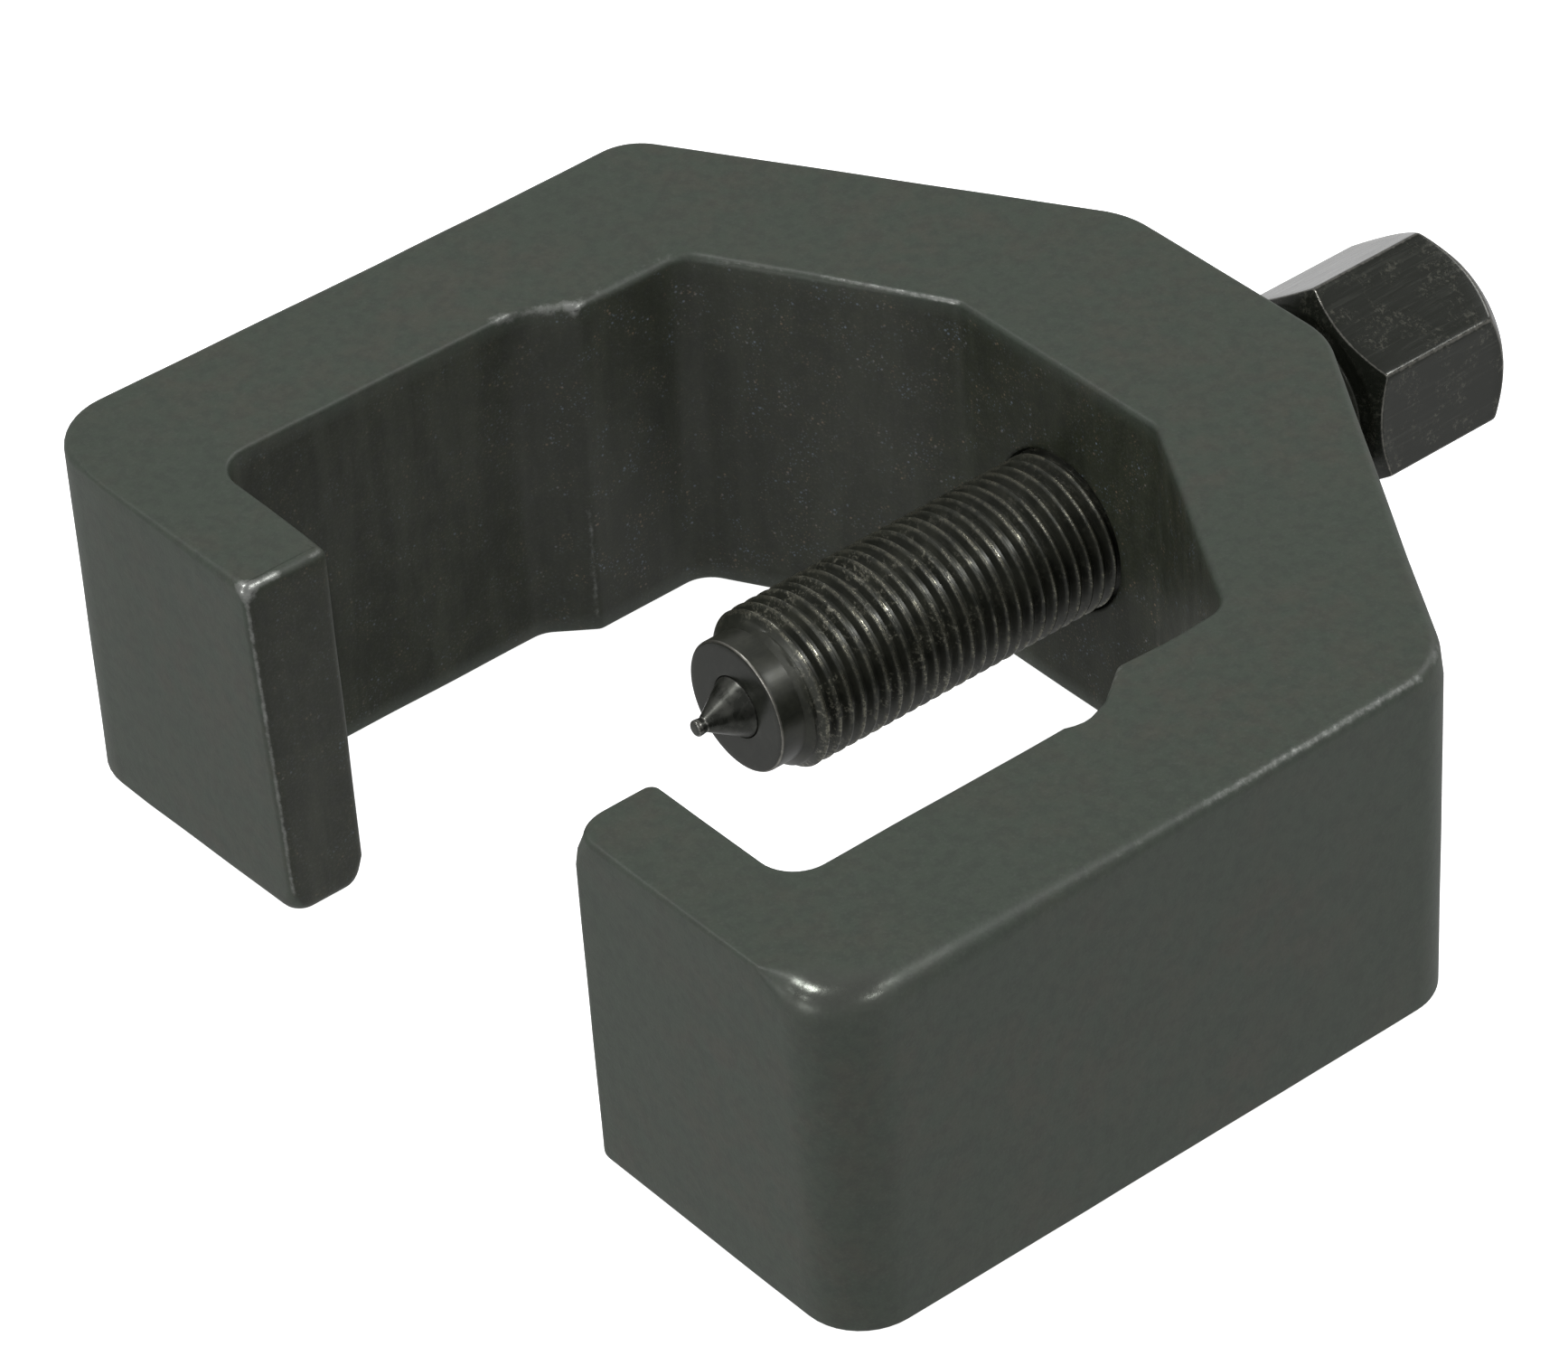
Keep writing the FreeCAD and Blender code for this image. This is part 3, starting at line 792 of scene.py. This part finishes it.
def nose_rows():
    """The bore and nose as profile rows, from the bore's drilled end out to the thread."""
    bore_end = NOSE_FACE + BORE_DEPTH
    corners = [
        (0.3, bore_end + DRILL_POINT * 0.9, 0),
        (BORE_RADIUS, bore_end, 0.1),
        (BORE_RADIUS, GROOVE_BACK, 0.05),
        (GROOVE_RADIUS, GROOVE_BACK, 0.05),
        (GROOVE_RADIUS, GROOVE_FRONT, 0.05),
        (BORE_RADIUS, GROOVE_FRONT, 0.05),
        (BORE_RADIUS, NOSE_FACE, 0.15),
        (NOSE_RADIUS, NOSE_FACE, 0.3),
        (NOSE_RADIUS, NOSE_FACE + NOSE_LENGTH, 0),
    ]
    return rounded_profile(corners, [4, 5, 1, 1, 1, 3, 6, 5])


def black_head_and_shaded_nose(points):
    """How black the screw is: 1 on its black head, 0 on the thread, and 0.8 on the nose's front face, where
    the darkening is painted shade.
    """
    y = points[:, 1]
    return np.maximum(y > HEAD_END - HEAD_LENGTH - 0.1, 0.8 * (y < NOSE_FACE + 0.05))


def dustiness(points):
    """How much pale dust the screw holds: most on its first turns, and little behind them."""
    behind = points[:, 1] - NOSE_FACE - NOSE_LENGTH
    return smooth(behind, 0, 1.5) * (1 - 0.75 * smooth(behind, 14, 24))


def build_screw():
    """The forcing screw: bored nose, helical thread, neck and hex head in one closed mesh."""
    angles = screw_angles()
    sheet = Sheet()
    edges = []
    nose, head = [], []
    for radius, y, bend in nose_rows():
        nose.append(sheet.add(turned_ring(radius, y, angles)))
        edges += [bend * (1.0 if radius > NECK_RADIUS - 2 else 0.3)] * len(angles)
    for radii, ys, worn in head_rows(angles):
        head.append(sheet.add(turned_ring(radii, ys, angles)))
        edges += list(worn)
    for rings in (nose, head):
        sheet.skin(rings, turned=True)
    sheet.faces += [tuple(nose[0]), tuple(reversed(head[-1]))]
    start = NOSE_FACE + NOSE_LENGTH
    end = HEAD_END - HEAD_LENGTH - NECK_LENGTH / 2 + 0.05
    table, marks = add_thread_points(sheet, angles, nose[-1], head[0], start, end)
    add_thread_faces(sheet, table, nose[-1])
    points = np.array(sheet.points)
    crest = [0.0] * len(edges) + marks
    wear = edges + [0.0] * len(marks)
    attributes = {"crest": crest, "wear": wear, "black_and_nose_shade": black_head_and_shaded_nose(points), "dusty": dustiness(points)}
    return make_piece(
        "threaded_forcing_screw", points, sheet.faces, "screw", "forcing_screw", attributes
    )


def build_pilot():
    """The pilot point: a nub and a 60 degree cone on a grooved stem."""
    tip, stem_end = PILOT_LOW.y, PILOT_HIGH.y
    corners = [
        (0.12, tip, 0),
        (NUB_RADIUS * 0.97, tip, 0.22),
        (NUB_RADIUS, tip + 0.35, 0.15),
        (NUB_RADIUS * 0.9, tip + NUB_LENGTH, 0.12),
        (STEM_RADIUS, NOSE_FACE - 0.02, 0.12),
        (STEM_RADIUS, GROOVE_FRONT, 0.05),
        (STEM_GROOVE_RADIUS, GROOVE_FRONT, 0.05),
        (STEM_GROOVE_RADIUS, GROOVE_BACK, 0.05),
        (STEM_RADIUS, GROOVE_BACK, 0.05),
        (STEM_RADIUS, stem_end - STEM_CHAMFER, 0.1),
        (STEM_RADIUS - STEM_CHAMFER, stem_end, 0.1),
        (0.2, stem_end, 0),
    ]
    columns = 96
    angles = np.arange(columns) * 2 * math.pi / columns
    sheet = Sheet()
    rings, edges = [], []
    for radius, y, bend in rounded_profile(corners, [2, 2, 2, 16, 4, 1, 1, 1, 5, 1, 4]):
        rings.append(sheet.add(turned_ring(radius, y, angles)))
        edges += [bend * (1.0 if y < NOSE_FACE - 3 else 0.2)] * columns
    sheet.skin(rings, turned=True)
    sheet.faces += [tuple(rings[0]), tuple(reversed(rings[-1]))]
    attributes = {"wear": edges}
    return make_piece(
        "turned_pilot_point", sheet.points, sheet.faces, "pilot", "pilot_point", attributes
    )


# Materials


class Finish:
    """A node material built around one Principled surface."""

    def __init__(self, name):
        self.material = bpy.data.materials.new(name)
        self.material.use_nodes = True
        self.nodes = self.material.node_tree.nodes
        self.links = self.material.node_tree.links
        self.surface = self.nodes["Principled BSDF"]
        self.place = self.nodes.new("ShaderNodeTexCoord").outputs["Object"]

    def feed(self, socket, value):
        """Give a node's input a value, a colour or another node's output."""
        if isinstance(value, bpy.types.NodeSocket):
            self.links.new(value, socket)
        else:
            socket.default_value = value

    def set(self, name, value):
        """Feed one of the surface's inputs."""
        self.feed(self.surface.inputs[name], value)

    def node(self, kind, values):
        """A new node of a kind, with its inputs fed from values."""
        node = self.nodes.new("ShaderNode" + kind)
        for key, value in values.items():
            self.feed(node.inputs[key], value)
        return node

    def noise(self, size, detail=3.0, rough=0.55, stretch=(1, 1, 1)):
        """Noise from 0 to 1 whose marks are about size millimetres across."""
        place = self.node("VectorMath", {0: self.place, 1: stretch})
        place.operation = "MULTIPLY"
        values = {"Scale": 1 / (size * MM), "Detail": detail, "Roughness": rough}
        return self.node("TexNoise", {"Vector": place.outputs[0], **values}).outputs["Fac"]

    def specks(self, size):
        """Distance from scattered points about size millimetres apart."""
        return self.node("TexVoronoi", {"Vector": self.place, "Scale": 1 / (size * MM)}).outputs["Distance"]

    def attribute(self, name):
        """One of the mesh's own values."""
        node = self.nodes.new("ShaderNodeAttribute")
        node.attribute_name = name
        return node.outputs["Fac"]

    def maths(self, operation, first, second):
        """A sum on two values."""
        node = self.node("Math", {0: first, 1: second})
        node.operation = operation
        return node.outputs[0]

    def times(self, first, second):
        """One value times another."""
        return self.maths("MULTIPLY", first, second)

    def step(self, value, low, high, start=0.0, end=1.0):
        """A soft step of value from start at low to end at high."""
        values = {"Value": value, "From Min": low, "From Max": high, "To Min": start, "To Max": end}
        node = self.node("MapRange", values)
        node.interpolation_type = "SMOOTHSTEP"
        return node.outputs["Result"]

    def blend(self, share, first, second):
        """A mix of two colours or values."""
        node = self.nodes.new("ShaderNodeMix")
        node.data_type = "RGBA"
        for place, value in ((0, share), (6, first), (7, second)):
            self.feed(node.inputs[place], value)
        return node.outputs[2]

    def bump(self, height, depth, strength, below=None):
        """Surface relief of depth millimetres, on top of any relief below."""
        node = self.node("Bump", {"Height": height, "Distance": depth * MM, "Strength": strength})
        if below is not None:
            self.feed(node.inputs["Normal"], below)
        return node.outputs["Normal"]

    def paint(self, piece):
        """Give this finish to a piece."""
        piece.data.materials.clear()
        piece.data.materials.append(self.material)


def grey(level, warm=0.0, green=0.0):
    """A near grey colour, as linear red, green, blue and alpha."""
    return (level * (1 + warm), level * (1 + green), level * (1 - warm), 1)


# Colours, as linear red, green, blue and alpha.
FRAME_GREEN = (0.046, 0.060, 0.044, 1)
FRAME_BROWN = (0.055, 0.059, 0.044, 1)
FRAME_POLISHED = (0.16, 0.165, 0.15, 1)
FRAME_RUBBED = (0.33, 0.34, 0.32, 1)
# Painted shade: the two darkest pocket colours stand in for the shade inside the pocket.
POCKET_SHADED_DARK = (0.018, 0.021, 0.0125, 1)
POCKET_SHADED_PALE = (0.028, 0.032, 0.019, 1)
POCKET_REAR = (0.050, 0.056, 0.039, 1)
DUST_BROWN = (0.20, 0.15, 0.10, 1)
DUST_BLUE = (0.17, 0.21, 0.26, 1)
SCREW_DARK = (0.030, 0.032, 0.025, 1)
SCREW_PALE = (0.052, 0.054, 0.041, 1)
SCREW_DRAWN = (0.09, 0.09, 0.08, 1)
SCREW_BLACK = (0.016, 0.018, 0.013, 1)
SCREW_SMOKED = (0.06, 0.063, 0.052, 1)
SCREW_DUST = (0.36, 0.35, 0.28, 1)
SCREW_CREST = (0.29, 0.28, 0.22, 1)
SCREW_RUBBED = (0.30, 0.29, 0.26, 1)
PILOT_DARK = (0.036, 0.038, 0.032, 1)
PILOT_PALE = (0.085, 0.087, 0.076, 1)
PILOT_RUBBED = (0.42, 0.41, 0.38, 1)


def shaded_pocket_colour(finish, cloud, deep):
    """The pocket's colour: darker than the outer faces as painted shade of the pocket, with paler upright
    streaks and a paler rear.
    """
    streak = finish.noise(3.5, 3, 0.6, stretch=(1, 1, 0.12))
    colour = finish.blend(finish.step(cloud, 0.3, 0.7), POCKET_SHADED_DARK, POCKET_SHADED_PALE)
    colour = finish.blend(finish.step(streak, 0.42, 0.66, 0, 0.5), colour, POCKET_REAR)
    return finish.blend(finish.times(deep, 0.22), colour, POCKET_REAR)


def pocket_dust(finish, colour, pocket, deep):
    """A colour under the brown and blue specks that cling to the pocket, most at its rear."""
    patch = finish.step(finish.noise(3.0, 3), 0.42, 0.62)
    fine = finish.step(finish.specks(0.34), 0.36, 0.12, 0.0, 0.4)
    coarse = finish.step(finish.specks(0.8), 0.22, 0.08, 0.0, 0.8)
    dust = finish.times(finish.maths("MAXIMUM", fine, coarse), patch)
    dust = finish.times(dust, finish.times(pocket, finish.step(deep, 0, 1, 0.45, 1.0)))
    tone = finish.step(finish.noise(1.7, 2), 0.42, 0.58)
    return finish.blend(dust, colour, finish.blend(tone, DUST_BROWN, DUST_BLUE))


def frame_finish():
    """Black oxide on forged steel: matte grey green with thinly rubbed edges."""
    finish = Finish("black_oxide_forging")
    broad = finish.noise(16, 2, 0.5)
    cloud = finish.noise(3.0, 4, 0.6)
    mottle = finish.noise(1.1, 3, 0.6)
    grain = finish.noise(0.3, 3, 0.7)
    pocket = finish.attribute("pocket")
    deep = finish.attribute("deep")
    open_colour = finish.blend(finish.step(cloud, 0.35, 0.68), FRAME_GREEN, FRAME_BROWN)
    open_colour = finish.blend(finish.step(broad, 0.35, 0.7), open_colour, FRAME_GREEN)
    # Painted shade: the pocket's walls and the hooks' ends take the darker pocket colour.
    colour = finish.blend(pocket, open_colour, shaded_pocket_colour(finish, cloud, deep))
    colour = finish.blend(finish.step(mottle, 0.40, 0.66, 0, 0.24), colour, grey(0.02))
    colour = finish.blend(finish.step(grain, 0.45, 0.8, 0.0, 0.16), colour, grey(0.14, 0.02, 0.05))
    colour = pocket_dust(finish, colour, pocket, deep)
    ragged = finish.times(finish.noise(0.8, 4, 0.7), 0.8)
    worn = finish.maths("SUBTRACT", finish.times(finish.attribute("wear"), 1.2), ragged)
    worn = finish.step(worn, 0.0, 0.6)
    polish = finish.attribute("polish")
    colour = finish.blend(finish.times(polish, 0.6), colour, FRAME_POLISHED)
    finish.set("Base Color", finish.blend(worn, colour, FRAME_RUBBED))
    metal = finish.step(worn, 0, 1, 0.0, 0.9)
    finish.set("Metallic", finish.maths("MAXIMUM", metal, finish.times(polish, 0.8)))
    rough = finish.step(finish.maths("SUBTRACT", grain, worn), -0.6, 0.8, 0.34, 0.5)
    finish.set("Roughness", finish.maths("SUBTRACT", rough, finish.times(polish, 0.22)))
    # Painted shade: less sheen where the shade attribute marks the pocket's hub and lower walls.
    finish.set("Specular IOR Level", finish.step(finish.attribute("shade"), 0, 1, 0.5, 0.2))
    texture = finish.times(grain, finish.step(polish, 0, 1, 1.0, 0.1))
    relief = finish.bump(texture, 0.035, 0.6)
    finish.set("Normal", finish.bump(cloud, 0.16, 0.4, relief))
    return finish


def screw_finish():
    """Oiled black steel: near black, with rubbed thread crests and head edges."""
    finish = Finish("oiled_black_screw")
    drawn = finish.noise(0.3, 3, 0.6, stretch=(1, 0.06, 1))
    cloud = finish.noise(2.5, 4, 0.6)
    grain = finish.noise(0.25, 3, 0.7)
    colour = finish.blend(finish.step(cloud, 0.35, 0.7), SCREW_DARK, SCREW_PALE)
    colour = finish.blend(finish.step(drawn, 0.5, 0.75, 0, 0.12), colour, SCREW_DRAWN)
    black_and_nose_shade = finish.attribute("black_and_nose_shade")
    streak = finish.step(finish.noise(0.5, 4, 0.7, stretch=(1, 0.05, 1)), 0.5, 0.72, 0.0, 0.4)
    smoked = finish.blend(streak, SCREW_BLACK, SCREW_SMOKED)
    # Painted shade: the nose's front face takes the head's black as well.
    colour = finish.blend(black_and_nose_shade, colour, smoked)
    clumps = finish.step(finish.noise(3.2, 3), 0.46, 0.58)
    clumps = finish.times(clumps, finish.attribute("dusty"))
    dust = finish.times(finish.step(finish.noise(0.5, 5, 0.8), 0.51, 0.64), clumps)
    colour = finish.blend(finish.times(dust, 0.75), colour, SCREW_DUST)
    rubbed = finish.step(finish.noise(1.4, 3), 0.38, 0.62)
    crest = finish.step(finish.attribute("crest"), 0.62, 1.0)
    crest = finish.times(crest, finish.times(rubbed, finish.step(grain, 0.35, 0.6)))
    ragged = finish.times(finish.noise(0.6, 4, 0.75), 0.9)
    worn = finish.maths("SUBTRACT", finish.attribute("wear"), ragged)
    worn = finish.step(worn, 0.0, 0.6)
    colour = finish.blend(finish.times(crest, 0.7), colour, SCREW_CREST)
    finish.set("Base Color", finish.blend(worn, colour, SCREW_RUBBED))
    finish.set("Metallic", finish.step(finish.maths("ADD", worn, crest), 0, 1, 0.3, 0.9))
    rough = finish.step(cloud, 0.3, 0.7, 0.30, 0.38)
    rough = finish.maths("SUBTRACT", rough, finish.times(crest, 0.12))
    finish.set("Roughness", finish.blend(black_and_nose_shade, rough, finish.step(drawn, 0.3, 0.7, 0.20, 0.25)))
    finish.set("Normal", finish.bump(finish.maths("ADD", drawn, dust), 0.012, 0.4))
    return finish


def pilot_finish():
    """Hardened dark steel with turning marks and a rubbed nub."""
    finish = Finish("hardened_pilot")
    rings = finish.noise(0.15, 2, 0.5, stretch=(0.05, 1, 0.05))
    cloud = finish.noise(1.2, 3, 0.6)
    colour = finish.blend(finish.step(cloud, 0.35, 0.7), PILOT_DARK, PILOT_PALE)
    worn = finish.times(finish.attribute("wear"), finish.step(finish.noise(0.3, 3), 0.3, 0.6))
    worn = finish.times(worn, 0.7)
    finish.set("Base Color", finish.blend(worn, colour, PILOT_RUBBED))
    finish.set("Metallic", finish.step(worn, 0, 1, 0.6, 1.0))
    finish.set("Roughness", finish.step(cloud, 0.3, 0.7, 0.24, 0.34))
    finish.set("Normal", finish.bump(rings, 0.003, 0.3))
    return finish


def ball_finish():
    """Ground and polished bearing steel with faint lapping haze."""
    finish = Finish("polished_ball")
    haze = finish.noise(1.2, 4, 0.6)
    finish.set("Base Color", finish.blend(finish.step(haze, 0.3, 0.7), grey(0.5), grey(0.6)))
    finish.set("Metallic", 1.0)
    finish.set("Roughness", finish.step(haze, 0.3, 0.7, 0.06, 0.16))
    finish.set("Normal", finish.bump(finish.noise(0.2, 2), 0.002, 0.3))
    return finish


def ring_finish():
    """Drawn spring wire with blue-grey temper colour."""
    finish = Finish("spring_wire")
    drawn = finish.noise(0.15, 3, 0.6)
    finish.set("Base Color", finish.blend(finish.step(drawn, 0.3, 0.7), grey(0.16, -0.06), grey(0.26)))
    finish.set("Metallic", 0.9)
    finish.set("Roughness", finish.step(drawn, 0.3, 0.7, 0.25, 0.4))
    finish.set("Normal", finish.bump(drawn, 0.01, 0.4))
    return finish


def floor_finish():
    """A matte white table top that glows, so that it stays pale all round."""
    finish = Finish("pale_floor")
    fine = finish.noise(30, 2, 0.5)
    finish.set("Base Color", finish.blend(fine, grey(0.9), grey(0.93)))
    finish.set("Roughness", 0.9)
    finish.set("Emission Color", grey(1.0))
    finish.set("Emission Strength", 1.0)
    return finish


# Scene


def direction(azimuth, elevation):
    """A unit vector to a place: azimuth from +X toward +Y, elevation above the floor."""
    turn, rise = math.radians(azimuth), math.radians(elevation)
    return Vector((math.cos(turn) * math.cos(rise), math.sin(turn) * math.cos(rise), math.sin(rise)))


def build_floor():
    """A wide round floor just under the tool."""
    columns = 96
    mesh = bpy.data.meshes.new("floor")
    around = [direction(360 * step / columns, 0) * FLOOR_RADIUS for step in range(columns)]
    mesh.from_pydata([(x, y, -FLOOR_DROP) for x, y, _ in around], [], [tuple(range(columns))])
    floor = bpy.data.objects.new("floor", mesh)
    bpy.context.scene.collection.objects.link(floor)
    floor.visible_diffuse = False
    floor.visible_glossy = False
    floor.visible_shadow = False
    return floor


def add_softbox(name, azimuth, elevation, size, power):
    """A square soft light aimed at the middle of the tool."""
    light = bpy.data.lights.new(name, "AREA")
    light.shape = "SQUARE"
    light.size = size
    light.energy = power
    lamp = bpy.data.objects.new(name, light)
    away = direction(azimuth, elevation)
    lamp.location = (CAD_LOW + CAD_HIGH) / 2 + away * LIGHT_DISTANCE
    lamp.rotation_euler = away.to_track_quat("Z", "Y").to_euler()
    bpy.context.scene.collection.objects.link(lamp)


def build_surroundings():
    """Pale surroundings: the table's light from below and the sky's from above."""
    world = bpy.data.worlds.new("studio")
    bpy.context.scene.world = world
    world.use_nodes = True
    nodes, links = world.node_tree.nodes, world.node_tree.links
    sky = nodes["Background"]
    sky.inputs["Color"].default_value = (1, 1, 1, 1)
    place = nodes.new("ShaderNodeTexCoord").outputs["Generated"]
    split = nodes.new("ShaderNodeSeparateXYZ")
    ramp = nodes.new("ShaderNodeMapRange")
    limits = {"From Min": -0.25, "From Max": 0.25, "To Min": TABLE_STRENGTH, "To Max": SKY_STRENGTH}
    for name, value in limits.items():
        ramp.inputs[name].default_value = value
    links.new(place, split.inputs[0])
    links.new(split.outputs["Z"], ramp.inputs["Value"])
    links.new(ramp.outputs["Result"], sky.inputs["Strength"])


def light_scene():
    """Two keys, two fills, two lights that the table throws up, and two small corner lights."""
    build_surroundings()
    for light in LIGHTS:
        add_softbox(*light)
    bpy.context.scene.view_settings.view_transform = "Standard"


def place_camera():
    """The camera at the picture's place, rolled a little about its line of sight."""
    camera = bpy.data.cameras.new("camera")
    camera.lens = CAMERA_LENS
    camera.sensor_width = 36
    holder = bpy.data.objects.new("camera", camera)
    back = direction(CAMERA_AZIMUTH, CAMERA_ELEVATION)
    level_right = Vector((0, 0, 1)).cross(back).normalized()
    level_up = back.cross(level_right)
    roll = math.radians(CAMERA_ROLL)
    right = level_right * math.cos(roll) + level_up * math.sin(roll)
    up = back.cross(right)
    turn = Matrix((right, up, back)).transposed().to_4x4()
    holder.matrix_world = Matrix.Translation((CAMERA_AIM + back * CAMERA_DISTANCE) * MM) @ turn
    bpy.context.scene.collection.objects.link(holder)
    bpy.context.scene.camera = holder


def main():
    """Build every piece, its finish, the floor, the lights and the camera."""
    frame_finish().paint(build_frame())
    screw_finish().paint(build_screw())
    pilot_finish().paint(build_pilot())
    ball_finish().paint(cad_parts["thrust_ball"])
    ring_finish().paint(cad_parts["retaining_ring"])
    floor_finish().paint(build_floor())
    light_scene()
    place_camera()


main()
